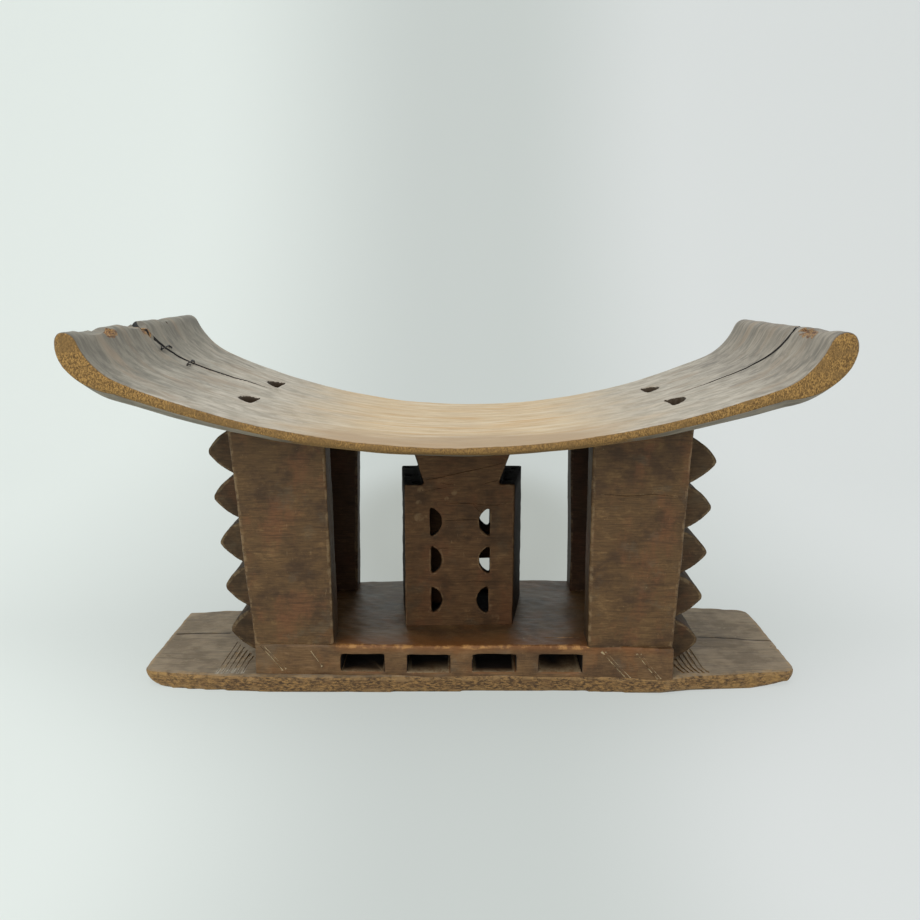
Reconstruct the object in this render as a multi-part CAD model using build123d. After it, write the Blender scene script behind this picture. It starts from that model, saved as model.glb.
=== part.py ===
from build123d import *
import os
from math import asin, cos, radians, sin

# Carved wooden stool, cut from one block: a curved seat plank on four corner posts,
# two toothed end webs and a pierced hollow column, which stand on a slotted plinth
# and a thin base. All lengths are in millimetres and +Z is up.
# Sizes along X are measured from the middle of the seat's front edge. The front is at -Y.

# ---- seat plank ----
seat_length = 610.0           # along the front edge
seat_depth = 296.0
seat_corner_radius = 12.0
left_back_shift = 9.0         # both ends are cut askew: their back corners lie further right
right_back_shift = 11.0

# The dish is a wide arc across the seat with a tighter curl up to each end.
# Each pair is the value at the front edge and the value at the back edge.
dish_low_x = (-2.0, 12.0)
dish_low_z = (233.3, 226.0)
left_dish_radius = (668.0, 619.0)
left_curl_radius = (55.0, 70.0)
left_curl_angle = (69.0, 66.0)
left_nose_width = 20.0        # thickness of the rounded seat end
right_dish_radius = (702.0, 639.0)
right_curl_radius = (60.0, 60.0)
right_curl_angle = (69.0, 68.0)
right_nose_width = 24.0

# Plank thickness in the middle and where the curls begin, from the edges inwards.
rim_middle = 5.0
rim_side = 8.5
bevel_run = 8.0               # how far in from an edge the rim ends and the bevel begins
bevel_middle = 7.5
bevel_side = 16.5
thinning_run = 58.0           # how far in from an edge the plank is at full thickness
plank_middle = 16.5
plank_side = 22.5
curl_fullness = 0.72          # how much of the nose's thickness the curl still has halfway down
mouths_y = (-32.0, 12.0)      # the cracks leave the seat ends between these two distances

# Half-moon holes through the plank: the straight side faces the middle of the seat.
hole_chord = 42.0
hole_bulge = 13.5
left_hole_inset = 129.0       # from the seat end to the straight side
right_hole_inset = 121.5
left_hole_middles = (-45.0, 73.0)
right_hole_middles = (-52.0, 59.0)

# Drying cracks that start at the seat ends. A path is given from its end of the seat.
left_crack_mouth = 3.2
right_crack_mouth = 2.2
left_crack = ((-3.0, -6.0), (24.0, 3.0), (36.0, 9.0), (58.0, 11.5), (92.0, 23.5), (137.0, 38.0))
right_crack = ((-3.0, -5.0), (22.0, -25.0), (53.0, -18.5), (89.0, -20.0), (112.0, -15.0))

# Wire repair staples across the left crack.
wire_diameter = 1.8
staple_span = 22.0
staple_leg = 9.0
staple_lift = 0.35            # how far the crown's centre line lies above the wood
staple_insets = (36.0, 57.5)  # from the left end of the seat
staple_middles = (8.0, 11.5)

# ---- base ----
base_thickness = 15.0
base_left = 282.0
base_right = 305.5
base_corner_radius = 12.0
front_corners_y = (-69.0, -67.0)              # at the left end and the right end
front_edge = ((-222.0, -78.5), (-100.0, -83.0), (188.0, -86.5))
front_nick = (208.0, -79.5)                   # right of here the front edge is cut further back
back_edge_y = (76.0, 98.0, 88.0)              # at the left end, the middle and the right end

# ---- plinth ----
plinth_height = 28.0
plinth_left = 178.5
plinth_right = 190.0
plinth_front_left = -76.5
plinth_front_right = -86.0
slot_count = 4
slot_width = 37.8
slot_pitch = 58.3
slot_height = 16.0
slot_sill = 3.3               # height of a slot's floor above the base
slots_middle = 4.3

# ---- corner posts ----
post_depth = 31.0
front_left_post_width = 70.5  # at the foot
front_right_post_width = 74.5
back_left_post_width = 75.0
back_right_post_width = 74.0
front_left_post_y = -76.5
front_right_post_y = -81.0
back_posts_y = 66.0           # front faces of the back posts
left_lean = 0.078             # outward leans of the faces, per millimetre of height
right_lean = 0.052
front_left_inner_lean = 0.020
front_right_inner_lean = -0.004
back_left_inner_lean = -0.021
back_right_inner_lean = -0.015

# ---- toothed end webs ----
tooth_count = 5
tooth_pitch = 41.5
left_tooth_depth = 24.0
right_tooth_depth = 26.0
valley_stand_off = 4.0        # how far the valleys stay outside the posts' outer faces
web_wall = 18.0               # from the valley line to the inner face
left_first_valley = 8.0       # above the base
right_first_valley = 0.4
# Three arcs make one tooth, from valley to valley: its lower flank, its tip and its upper flank.
# Each ratio pair is a share of the tooth's depth and a share of its pitch.
tooth_flank_ratio = (0.67, 0.24)
tooth_tip_ratios = ((0.95, 0.42), (1.00, 0.50), (0.94, 0.59))
tooth_back_ratio = (0.69, 0.77)

# ---- centre column ----
column_height = 134.0
column_front = -30.0
column_back = 56.0
column_front_x = (-47.5, 52.0)
column_back_x = (-55.5, 63.5)
column_wall = 9.0
shaft_floor = 7.0             # above the plinth
shaft_headroom = 11.0         # below the shoulders
right_shaft_x = (13.0, 41.0)
left_pocket_x = (-34.0, -8.0)
moon_height = 27.0
moon_bulge = 10.5
moon_middles = (24.5, 63.0, 99.0)             # above the plinth
left_moons_x = (-24.0, -24.0, -24.5)
right_moons_x = (29.0, 30.5, 30.5)
back_moon_middle = 86.5
back_moons_x = (-28.0, 31.5)
back_arch_width = 32.0
back_arch_drop = 22.0
back_arch_top = 40.0
back_arch_middles = (-22.0, 27.0)
neck_foot_x = (-29.0, 36.0)
neck_left_flare = 0.34        # outward lean of the neck's sides, per millimetre of height
neck_right_flare = 0.45
neck_back_widening = 8.0      # how much wider each side of the neck is at the back

# ---- heights and limits that follow from the sizes above ----
base_top = base_thickness
plinth_top = base_top + plinth_height
shoulder_z = plinth_top + column_height
carving_height = 2 * dish_low_z[0]            # above everything, for tools that cut through


def mix(pair, share):
    """The value at a share of the way from the front edge (0) to the back edge (1)."""
    return pair[0] + (pair[1] - pair[0]) * share


def polygon(points):
    """A flat face with straight sides."""
    return make_face(Polyline(*points, close=True))


def seat_side(sign, y, share, middle_thickness, side_thickness):
    """One half of the seat section: the edges from the lowest point of the dish to the nose."""
    back_shift = {-1: -left_back_shift, 1: right_back_shift}[sign]
    end_x = seat_length / 2 + back_shift * share
    low_x = mix(dish_low_x, share)
    low_z = mix(dish_low_z, share)
    radius = mix({-1: left_dish_radius, 1: right_dish_radius}[sign], share)
    curl = mix({-1: left_curl_radius, 1: right_curl_radius}[sign], share)
    last = radians(mix({-1: left_curl_angle, 1: right_curl_angle}[sign], share))
    nose_width = {-1: left_nose_width, 1: right_nose_width}[sign]
    nose = nose_width / 2
    tip_reach = end_x - sign * low_x - nose * (1 + sin(last))
    first = asin((tip_reach - curl * sin(last)) / (radius - curl))

    def on_curl(angle, depth=0.0):
        reach = radius * sin(first) + curl * (sin(angle) - sin(first)) + depth * sin(angle)
        rise = radius * (1 - cos(first)) + curl * (cos(first) - cos(angle)) - depth * cos(angle)
        return Vector(low_x + sign * reach, y, low_z + rise)

    middle = (first + last) / 2
    tip = on_curl(last)
    heel = on_curl(last, nose_width)
    crown = on_curl(last, nose) + nose * Vector(sign * cos(last), 0, sin(last))
    under_join = on_curl(first, side_thickness)
    under_middle = on_curl(middle, mix((side_thickness, nose_width), curl_fullness))
    low = Vector(low_x, y, low_z)
    under_low = low - Vector(0, 0, middle_thickness)
    outward = Vector(sign, 0, 0)
    return [
        TangentArc(low, on_curl(first), tangent=outward),
        ThreePointArc(on_curl(first), on_curl(middle), tip),
        ThreePointArc(tip, crown, heel),
        ThreePointArc(heel, under_middle, under_join),
        TangentArc(under_low, under_join, tangent=outward),
    ]


def seat_section(y, middle_thickness, side_thickness):
    """The closed outline of the plank across the seat, at one distance from the front."""
    share = y / seat_depth + 0.5
    right = seat_side(1, y, share, middle_thickness, side_thickness)
    left = seat_side(-1, y, share, middle_thickness, side_thickness)
    return Wire([edge.edge() for edge in right + left[::-1]])


def seat_plank():
    """The bare plank: thin rims at the front and back, thicker further in."""
    half = seat_depth / 2
    steps = [
        (half, rim_middle, rim_side),
        (half - bevel_run, bevel_middle, bevel_side),
        (half - thinning_run, plank_middle, plank_side),
    ]
    front = [seat_section(-y, middle, side) for y, middle, side in steps]
    mouths = [seat_section(y, plank_middle, plank_side) for y in mouths_y]
    back = [seat_section(y, middle, side) for y, middle, side in reversed(steps)]
    plank = Solid.make_loft(front + mouths + back, ruled=True)
    margin = 1.0
    end_x = seat_length / 2 + margin
    corners = [
        (-end_x, -half),
        (end_x, -half),
        (end_x + right_back_shift, half),
        (left_back_shift - end_x, half),
    ]
    plan = polygon(corners)
    plan = fillet(plan.vertices(), seat_corner_radius)
    return plank & extrude(plan, carving_height)


def half_moon(straight_x, middle_y, height, bulge, bulge_sign):
    """A flat half-moon with its straight side along Y."""
    low = (straight_x, middle_y - height / 2)
    high = (straight_x, middle_y + height / 2)
    outermost = (straight_x + bulge_sign * bulge, middle_y)
    return make_face([Line(low, high), ThreePointArc(high, outermost, low)])


def seat_holes():
    """Cutters for the four half-moon holes through the plank."""
    left_x = left_hole_inset - seat_length / 2
    right_x = seat_length / 2 - right_hole_inset
    moons = [half_moon(left_x, y, hole_chord, hole_bulge, -1) for y in left_hole_middles]
    moons += [half_moon(right_x, y, hole_chord, hole_bulge, 1) for y in right_hole_middles]
    return [extrude(moon, carving_height) for moon in moons]


def crack(end_sign, path, mouth):
    """A narrow wedge-shaped cutter along a crack, widest at the end of the seat."""
    steps = len(path) - 1
    near = []
    far = []
    for index, (inset, y) in enumerate(path):
        half_width = mouth / 2 * (1 - index / steps)
        x = end_sign * (seat_length / 2 - inset)
        near.append((x, y - half_width))
        if index < steps:
            far.append((x, y + half_width))
    return extrude(polygon(near + far[::-1]), carving_height)


def staple(plank, inset, middle_y):
    """A wire staple across the left crack, its crown along the wood and its legs in it."""
    x = inset - seat_length / 2
    plumb = Axis((x, middle_y, carving_height), (0, 0, -1))
    hits = plank.find_intersection_points(plumb)
    place, normal = max(hits, key=lambda hit: hit[0].Z)
    if normal.Z < 0:
        normal = normal * -1
    across = Vector(0, 1, 0)
    crown = place + normal * staple_lift
    heads = [crown - across * staple_span / 2, crown + across * staple_span / 2]
    toes = [head - normal * staple_leg for head in heads]
    path = Polyline(toes[0], heads[0], heads[1], toes[1])
    section = Plane(origin=toes[0], z_dir=normal) * Circle(wire_diameter / 2)
    return sweep(section, path=path, transition=Transition.RIGHT)


def block_outline():
    """The plan of the base. The plinth and the back posts end flush with its back edge."""
    left = -base_left
    right = base_right
    front_left = (left, front_corners_y[0])
    front_right = (right, front_corners_y[1])
    back_right = (right, back_edge_y[2])
    back_left = (left, back_edge_y[0])
    edges = [
        Spline(front_left, *front_edge),
        Line(front_edge[-1], front_nick),
        Line(front_nick, front_right),
        Line(front_right, back_right),
        ThreePointArc(back_right, (0, back_edge_y[1]), back_left),
        Line(back_left, front_left),
    ]
    plan = make_face(edges)
    corners = plan.vertices().filter_by(lambda corner: corner.X in (left, right))
    return fillet(corners, base_corner_radius)


def plinth_slots():
    """Cutters for the row of slots, which run from the front to the back."""
    first_x = slots_middle - slot_pitch * (slot_count - 1) / 2
    floor_z = base_top + slot_sill
    slots = []
    for index in range(slot_count):
        middle = (first_x + index * slot_pitch, 0, floor_z + slot_height / 2)
        slots.append(Pos(*middle) * Box(slot_width, seat_depth, slot_height))
    return slots


def outer_x(side, z):
    """Where the outer face of a corner post stands at a height, on the left or the right."""
    foot, lean = {-1: (plinth_left, left_lean), 1: (plinth_right, right_lean)}[side]
    return side * (foot + lean * (z - plinth_top))


def from_front(points, y_front, y_back):
    """A prism along Y over an outline of (x, z) points."""
    outline = polygon([(x, y_front, z) for x, z in points])
    return extrude(outline, y_back - y_front, dir=(0, 1, 0))


def post_blank(side, width, inner_lean, y_front, y_back):
    """A corner post that runs up past the seat, before its head is trimmed."""
    foot_x = outer_x(side, plinth_top)
    inner_x = foot_x - side * width
    inner_head = inner_x + side * inner_lean * (carving_height - plinth_top)
    points = [
        (foot_x, plinth_top),
        (outer_x(side, carving_height), carving_height),
        (inner_head, carving_height),
        (inner_x, plinth_top),
    ]
    return from_front(points, y_front, y_back)


def web_blank(side, first_valley, y_front, y_back):
    """An end web with a column of teeth, before its head is trimmed."""
    lean = {-1: left_lean, 1: right_lean}[side]
    tooth_depth = {-1: left_tooth_depth, 1: right_tooth_depth}[side]
    plinth_end = outer_x(side, plinth_top)

    def on_tooth(z, depth):
        return (outer_x(side, z) + side * (valley_stand_off + depth), y_front, z)

    edges = []
    ratios = [(0.0, 0.0), tooth_flank_ratio, *tooth_tip_ratios, tooth_back_ratio, (0.0, 1.0)]
    for index in range(tooth_count):
        low_z = base_top + first_valley + index * tooth_pitch
        places = [on_tooth(low_z + rise * tooth_pitch, out * tooth_depth) for out, rise in ratios]
        edges.append(ThreePointArc(*places[0:3]))
        edges.append(ThreePointArc(*places[2:5]))
        edges.append(ThreePointArc(*places[4:7]))
    inner_foot = plinth_end - side * (web_wall - valley_stand_off)
    inner_head = inner_foot + side * lean * (carving_height - plinth_top)
    back_round = Polyline(
        edges[-1] @ 1,
        on_tooth(carving_height, 0.0),
        (inner_head, y_front, carving_height),
        (inner_foot, y_front, plinth_top),
        (plinth_end, y_front, plinth_top),
        (plinth_end, y_front, base_top),
        on_tooth(base_top, 0.0),
        edges[0] @ 0,
    )
    outline = make_face([*edges, *back_round.edges()])
    return extrude(outline, y_back - y_front, dir=(0, 1, 0))


def upright(shape, y_front, y_back):
    """Stand a flat (x, height above the plinth) face up and run it along Y."""
    standing = Plane(origin=(0, y_front, plinth_top), x_dir=(1, 0, 0), z_dir=(0, -1, 0)) * shape
    return extrude(standing, y_back - y_front, dir=(0, 1, 0))


def centre_column():
    """The pierced column: a hollow on the right runs through, two on the left do not."""
    plan = polygon(
        [
            (column_front_x[0], column_front),
            (column_front_x[1], column_front),
            (column_back_x[1], column_back),
            (column_back_x[0], column_back),
        ]
    )
    column = Pos(0, 0, plinth_top) * extrude(plan, column_height)
    inside_front = column_front + column_wall
    inside_back = column_back - column_wall
    pocket_depth = (inside_back - inside_front - column_wall) / 2
    hollows = [
        (right_shaft_x, inside_front, inside_back),
        (left_pocket_x, inside_front, inside_front + pocket_depth),
        (left_pocket_x, inside_back - pocket_depth, inside_back),
    ]
    low_z = plinth_top + shaft_floor
    high_z = shoulder_z - shaft_headroom
    for (x_low, x_high), y_front, y_back in hollows:
        points = [(x_low, low_z), (x_high, low_z), (x_high, high_z), (x_low, high_z)]
        column -= from_front(points, y_front, y_back)
    for height, left_x, right_x in zip(moon_middles, left_moons_x, right_moons_x):
        left = half_moon(left_x, height, moon_height, moon_bulge, 1)
        right = half_moon(right_x, height, moon_height, moon_bulge, -1)
        column -= upright(left, column_front - column_wall, inside_front)
        column -= upright(right, column_front - column_wall, inside_front)
    for side, x, arch_x in zip((1, -1), back_moons_x, back_arch_middles):
        moon = half_moon(x, back_moon_middle, moon_height, moon_bulge, side)
        reach = back_arch_width / 2
        flat = Line((arch_x - reach, back_arch_top), (arch_x + reach, back_arch_top))
        bow = ThreePointArc(flat @ 1, (arch_x, back_arch_top - back_arch_drop), flat @ 0)
        column -= upright(moon, inside_back, column_back + column_wall)
        column -= upright(make_face([flat, bow]), inside_back, column_back + column_wall)
    return column


def neck_blank():
    """The flaring neck on the shoulders, before its head is trimmed."""
    rise = carving_height - shoulder_z
    sections = []
    for y, widening in ((column_front, 0.0), (column_back, neck_back_widening)):
        left = neck_foot_x[0] - widening
        right = neck_foot_x[1] + widening
        points = [
            (left, y, shoulder_z),
            (right, y, shoulder_z),
            (right + neck_right_flare * rise, y, carving_height),
            (left - neck_left_flare * rise, y, carving_height),
        ]
        sections.append(Wire(Polyline(*points, close=True).edges()))
    return Solid.make_loft(sections, ruled=True)


def under_seat(blank, plank):
    """The part of a support that stands below the seat, trimmed to its underside."""
    return (blank - plank).solids().sort_by(Axis.Z)[0]


plank = seat_plank()
block = extrude(block_outline(), carving_height)
staples = [staple(plank, *place) for place in zip(staple_insets, staple_middles)]

nodes = {}
seat = plank
cracks = [crack(-1, left_crack, left_crack_mouth), crack(1, right_crack, right_crack_mouth)]
for cutter in seat_holes() + cracks + staples:
    seat -= cutter
nodes["seat"] = seat
for number, wire in enumerate(staples, start=1):
    nodes[f"left_crack_stitch_{number}"] = wire

front_left_post = (front_left_post_width, front_left_inner_lean)
front_right_post = (front_right_post_width, front_right_inner_lean)
back_left_post = (back_left_post_width, back_left_inner_lean)
back_right_post = (back_right_post_width, back_right_inner_lean)
ends = [
    (-1, "left", front_left_post_y, front_left_post, back_left_post, left_first_valley),
    (1, "right", front_right_post_y, front_right_post, back_right_post, right_first_valley),
]
for side, name, front_y, front_sizes, back_sizes, first_valley in ends:
    front_post = post_blank(side, *front_sizes, front_y, front_y + post_depth)
    back_post = post_blank(side, *back_sizes, back_posts_y, seat_depth) & block
    web = web_blank(side, first_valley, front_y + post_depth, back_posts_y)
    nodes[f"front_{name}_post"] = under_seat(front_post, plank)
    nodes[f"back_{name}_post"] = under_seat(back_post, plank)
    nodes[f"{name}_toothed_web"] = under_seat(web, plank)

nodes["centre_column"] = centre_column()
nodes["column_neck"] = under_seat(neck_blank(), plank)

plinth_plan = polygon(
    [
        (-plinth_left, plinth_front_left),
        (plinth_right, plinth_front_right),
        (plinth_right, seat_depth),
        (-plinth_left, seat_depth),
    ]
)
plinth = (Pos(0, 0, base_top) * extrude(plinth_plan, plinth_height)) & block
for slot in plinth_slots():
    plinth -= slot
nodes["plinth"] = plinth
nodes["base"] = extrude(block_outline(), base_thickness)

# The origin ends up below the middle of the plank's whole length, askew ends included.
middle_x = plank.bounding_box().center().X

os.makedirs("parts", exist_ok=True)
for name, shape in nodes.items():
    export_step(Pos(-middle_x, 0, 0) * shape, f"parts/{name}.step")
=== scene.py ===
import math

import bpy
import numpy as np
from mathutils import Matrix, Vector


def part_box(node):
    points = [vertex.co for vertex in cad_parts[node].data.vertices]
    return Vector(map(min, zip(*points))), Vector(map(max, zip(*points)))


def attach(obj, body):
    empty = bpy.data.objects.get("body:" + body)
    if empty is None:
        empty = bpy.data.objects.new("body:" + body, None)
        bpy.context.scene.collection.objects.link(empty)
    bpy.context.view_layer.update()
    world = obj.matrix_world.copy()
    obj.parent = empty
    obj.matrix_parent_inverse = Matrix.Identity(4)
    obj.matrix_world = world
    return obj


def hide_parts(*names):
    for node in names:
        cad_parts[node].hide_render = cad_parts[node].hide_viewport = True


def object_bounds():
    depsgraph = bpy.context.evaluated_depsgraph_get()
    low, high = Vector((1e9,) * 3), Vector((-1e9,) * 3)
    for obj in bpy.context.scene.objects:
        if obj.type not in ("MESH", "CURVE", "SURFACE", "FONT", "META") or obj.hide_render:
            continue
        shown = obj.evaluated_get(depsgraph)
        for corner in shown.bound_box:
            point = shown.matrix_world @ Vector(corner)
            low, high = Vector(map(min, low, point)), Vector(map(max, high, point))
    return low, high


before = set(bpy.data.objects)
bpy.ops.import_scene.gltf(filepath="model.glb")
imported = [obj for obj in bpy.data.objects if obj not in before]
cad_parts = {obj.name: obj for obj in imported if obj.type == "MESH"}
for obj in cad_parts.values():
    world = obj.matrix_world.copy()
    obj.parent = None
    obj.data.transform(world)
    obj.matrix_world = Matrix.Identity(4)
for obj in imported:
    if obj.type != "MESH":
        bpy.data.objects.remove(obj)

# %% [markdown]
# # A carved wooden stool, dressed for the camera
# The frame above holds the stool's solids at their real size: a curved seat plank, four corner
# posts, two toothed end webs, a pierced column with its neck, a slotted plinth and a thin base.
# Each solid is exact but machine-sharp. A stool that was cut with an adze and a knife, and then
# handled for decades, has soft edges, faint tool marks, cracks, dust and a rubbed, glossy skin.
# This lesson copies each solid, wears it down and gives it a finish made of shader nodes.

cad_low, cad_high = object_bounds()
MM = 0.001
print("CAD box in mm:", [round(v / MM, 1) for v in (*cad_low, *cad_high)])

# %% [markdown]
# ## Camera
# The camera comes first, because it decides which details show. It stands a little above the
# seat, straight in front, and looks slightly down, with a normal lens: upright edges stay nearly
# upright and the seat's top shows as a shallow bowl.

# %% The camera
camera_data = bpy.data.cameras.new("camera")
camera = bpy.data.objects.new("camera", camera_data)
bpy.context.scene.collection.objects.link(camera)
camera.location = (1.76 * MM, -842 * MM, 363 * MM)
camera.rotation_euler = (math.radians(78.64), 0, math.radians(0.305))
camera_data.sensor_width = 36.0
camera_data.lens = 36.04
bpy.context.scene.camera = camera
print("camera at", tuple(round(v, 3) for v in camera.location))

# %% [markdown]
# ## Helpers for carving
# Every wooden piece goes through the same steps: copy the solid, let it reach a little into its
# neighbour, turn it into an even skin of small faces, rub its edges, and add the tool's ripple.
# A voxel remesh makes the even skin, and smoothing it wears sharp edges more than flat faces, as
# hands and floors do. The reach hides the joint, because the real stool is one block.

# %% Selecting, modifying and copying
def only(piece):
    """Leave one piece selected and active, because an operator acts on all that is selected."""
    if bpy.context.object and bpy.context.object.mode != "OBJECT":
        bpy.ops.object.mode_set(mode="OBJECT")
    bpy.ops.object.select_all(action="DESELECT")
    piece.select_set(True)
    bpy.context.view_layer.objects.active = piece


def open_all(piece):
    """Open a piece in edit mode with everything selected."""
    only(piece)
    bpy.ops.object.mode_set(mode="EDIT")
    bpy.ops.mesh.select_all(action="SELECT")


def open_picked(piece, kind, test):
    """Open a piece in edit mode with only the faces or edges that pass a test selected."""
    open_all(piece)
    bpy.ops.mesh.select_mode(type=kind)
    bpy.ops.mesh.select_all(action="DESELECT")
    close()
    for item in piece.data.polygons if kind == "FACE" else piece.data.edges:
        item.select = test(item)
    bpy.ops.object.mode_set(mode="EDIT")


def close():
    """Leave edit mode."""
    bpy.ops.object.mode_set(mode="OBJECT")


def settle(piece):
    """Put a piece's place, turn and size into its mesh."""
    only(piece)
    bpy.ops.object.transform_apply(location=True, rotation=True, scale=True)


def add(name, data):
    """A new object in the scene."""
    thing = bpy.data.objects.new(name, data)
    bpy.context.scene.collection.objects.link(thing)
    return thing


def modify(piece, kind, **settings):
    """Add a modifier, set it and apply it."""
    only(piece)
    modifier = piece.modifiers.new(kind, kind)
    for key, value in settings.items():
        setattr(modifier, key, value)
    bpy.ops.object.modifier_apply(modifier=modifier.name)


def copy_of(node, name):
    """A copy of a solid, with its loose triangles merged, as a new piece to work on."""
    piece = add(name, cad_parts[node].data.copy())
    piece.data.materials.clear()
    open_all(piece)
    bpy.ops.mesh.remove_doubles(threshold=0.005 * MM)
    close()
    return piece


def reach(piece, direction, length, low=-1000, high=1000):
    """Move the faces that look in a direction, between two heights in mm, further that way."""
    aim = Vector(direction)

    def looks_that_way(face):
        return face.normal.dot(aim) > 0.6 and low * MM < face.center.z < high * MM

    open_picked(piece, "FACE", looks_that_way)
    bpy.ops.transform.translate(value=aim * length * MM)
    close()


def skin(piece, voxel, rub):
    """Give the piece an even skin of small faces and rub its edges round."""
    modify(piece, "REMESH", mode="VOXEL", voxel_size=voxel * MM)
    modify(piece, "SMOOTH", factor=0.5, iterations=rub)


# %% [markdown]
# ## Helpers that cut
# Cracks, incised lines and chips are cut with throw-away tools. A line tool is a thin four-sided
# rod along a path, thicker or thinner at each point, half sunk in the surface, so it leaves a
# V-shaped groove. Made very tall, the same rod becomes a wall that splits a plank right through.
# The manifold solver is quick on a dense skin, and needs closed shapes, which all of these are.

# %% Cutting tools
def rod(points, widths, rounded=False):
    """A thin rod through points in mm. It is a groove's tool, or a wire."""
    curve = bpy.data.curves.new("rod", "CURVE")
    curve.dimensions = "3D"
    curve.twist_mode = "Z_UP"
    curve.bevel_depth = 1.0
    curve.bevel_resolution = 3 if rounded else 0
    curve.use_fill_caps = True
    spline = curve.splines.new("POLY")
    spline.points.add(len(points) - 1)
    for target, point, width in zip(spline.points, points, widths):
        target.co = (*(Vector(point) * MM), 1)
        target.radius = width / 2 * MM
    only(add("rod", curve))
    bpy.ops.object.convert(target="MESH")
    piece = bpy.context.object
    open_all(piece)
    bpy.ops.mesh.remove_doubles(threshold=0.0005 * MM)
    bpy.ops.mesh.normals_make_consistent(inside=False)
    close()
    return piece


def wall(path, widths, height):
    """A rod along (x, y) points in mm, made so tall that it splits a plank right through."""
    tool = rod([(x, y, height) for x, y in path], widths)
    open_all(tool)
    bpy.ops.transform.resize(value=(1, 1, 400), center_override=(0, 0, height * MM))
    close()
    return tool


def gouge(place, size, turn=0.0):
    """A smooth lump of a tool that takes a chip out of an edge. Place and size are in mm."""
    bpy.ops.mesh.primitive_ico_sphere_add(subdivisions=3, radius=1.0)
    tool = bpy.context.object
    tool.scale = [axis / 2 * MM for axis in size]
    tool.rotation_euler = (0, math.radians(turn), 0)
    tool.location = [axis * MM for axis in place]
    settle(tool)
    return tool


def cut(piece, tools):
    """Cut the tools out of the piece, one after the other, and throw them away."""
    for tool in tools:
        before = len(piece.data.polygons)
        modify(piece, "BOOLEAN", operation="DIFFERENCE", solver="MANIFOLD", object=tool)
        if len(piece.data.polygons) == before:
            print("a tool missed", piece.name)
        bpy.data.objects.remove(tool)


# %% [markdown]
# ## Helpers that ripple and read the skin
# A knife leaves shallow facets that wander. Summing a few dozen sine waves with random directions
# gives the same kind of soft, endless ripple at no cost, and a stretch along one axis makes it run
# with the strokes. The ripple pushes each point along its own normal.
#
# The finishes need to know where an edge sticks out and gets rubbed, and where a corner is sunk
# and is painted darker (on the plinth, pale with dust). Both are read once from the mesh, as how
# far a point stands above or below the mean of its neighbours, and stored on the points as an
# attribute.

# %% Ripple, and the wear attributes
def read(mesh, collection, key, width=1, kind=np.float64):
    """One field of all points, edges or faces of a mesh, as an array."""
    items = getattr(mesh, collection)
    values = np.empty(len(items) * width, kind)
    items.foreach_get(key, values)
    return values.reshape(-1, width) if width > 1 else values


def points_of(piece):
    """The places of a piece's points in mm."""
    return read(piece.data, "vertices", "co", 3) / MM


def normals_of(piece):
    """The way that each of a piece's points looks."""
    return read(piece.data, "vertex_normals", "vector", 3)


def move_to(piece, points):
    """Move a piece's points to new places, in metres."""
    piece.data.vertices.foreach_set("co", points.ravel())
    piece.data.update()


def fade(values, low, high):
    """0 below low, 1 above high, and a straight slope between them."""
    return np.clip((values - low) / (high - low), 0, 1)


def ripple(points, length, stretch, seed, waves=36):
    """A soft random height for each point, about -1 to 1. Length is the wave's length in mm."""
    random = np.random.default_rng(seed)
    aim = random.normal(size=(waves, 3))
    aim /= np.linalg.norm(aim, axis=1)[:, None]
    rate = 2 * np.pi / (length * MM) * random.uniform(0.6, 1.7, waves)
    vectors = aim * rate[:, None] / np.array(stretch)
    phases = random.uniform(0, 2 * np.pi, waves)
    return np.sin(points @ vectors.T + phases).sum(axis=1) / math.sqrt(waves)


def carve(piece, layers, seed):
    """Push the points along their normals by layers of ripple: (length, height, stretch) in mm."""
    points = read(piece.data, "vertices", "co", 3)
    height = np.zeros(len(points))
    for index, (length, size, stretch) in enumerate(layers):
        height += size * MM * ripple(points, length, stretch, seed + index)
    move_to(piece, points + normals_of(piece) * height[:, None])


def keep_inside(piece):
    """Press the few points that the ripple pushed out of the solids' box back to its walls."""
    points = read(piece.data, "vertices", "co", 3)
    points = np.clip(points, np.array(cad_low), np.array(cad_high))
    move_to(piece, points)


def neighbour_mean(values, edges):
    """The mean of each point's neighbours."""
    here, there = edges.T
    size = len(values)
    count = np.maximum(np.bincount(here, minlength=size) + np.bincount(there, minlength=size), 1)
    columns = values.reshape(size, -1).T
    sums = [np.bincount(here, c[there], size) + np.bincount(there, c[here], size) for c in columns]
    return (np.array(sums) / count).T.reshape(values.shape)


def store(piece, name, values, kind="FLOAT", domain="POINT"):
    """Keep a value for each point or face as an attribute that a material can read."""
    attributes = piece.data.attributes
    attribute = attributes.get(name) or attributes.new(name, kind, domain)
    key = "value" if kind == "FLOAT" else "vector"
    attribute.data.foreach_set(key, np.ascontiguousarray(values, np.float32).ravel())


def mark_wear(piece, spread=3, full=0.30):
    """Store how much each point is rubbed or sunk, and how far it looks to the front or up."""
    points = read(piece.data, "vertices", "co", 3)
    normals = normals_of(piece)
    edges = read(piece.data, "edges", "vertices", 2, np.int32)
    mean = points
    for _ in range(spread):
        mean = neighbour_mean(mean, edges)
    lift = ((points - mean) * normals).sum(axis=1) / MM
    lift = neighbour_mean(lift, edges)
    store(piece, "rubbed", np.clip(lift / full, 0, 1))
    store(piece, "sunk", np.clip(-lift / full, 0, 1))
    store(piece, "front", np.clip(-normals[:, 1], 0, 1))
    store(piece, "up", np.clip(normals[:, 2], 0, 1))


def mark_lines(piece, lines, width, name="line"):
    """Store how near each point is to one of the lines, which are lists of points in mm."""
    points = points_of(piece)
    near = np.zeros(len(points))
    for line in lines:
        for start, end in zip(line, line[1:]):
            start, run = np.array(start), np.array(end) - np.array(start)
            share = np.clip((points - start) @ run / (run @ run), 0, 1)
            away = np.linalg.norm(points - start - share[:, None] * run, axis=1)
            near = np.maximum(near, 1 - fade(away, width * 0.5, width))
    store(piece, name, near)


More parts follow.
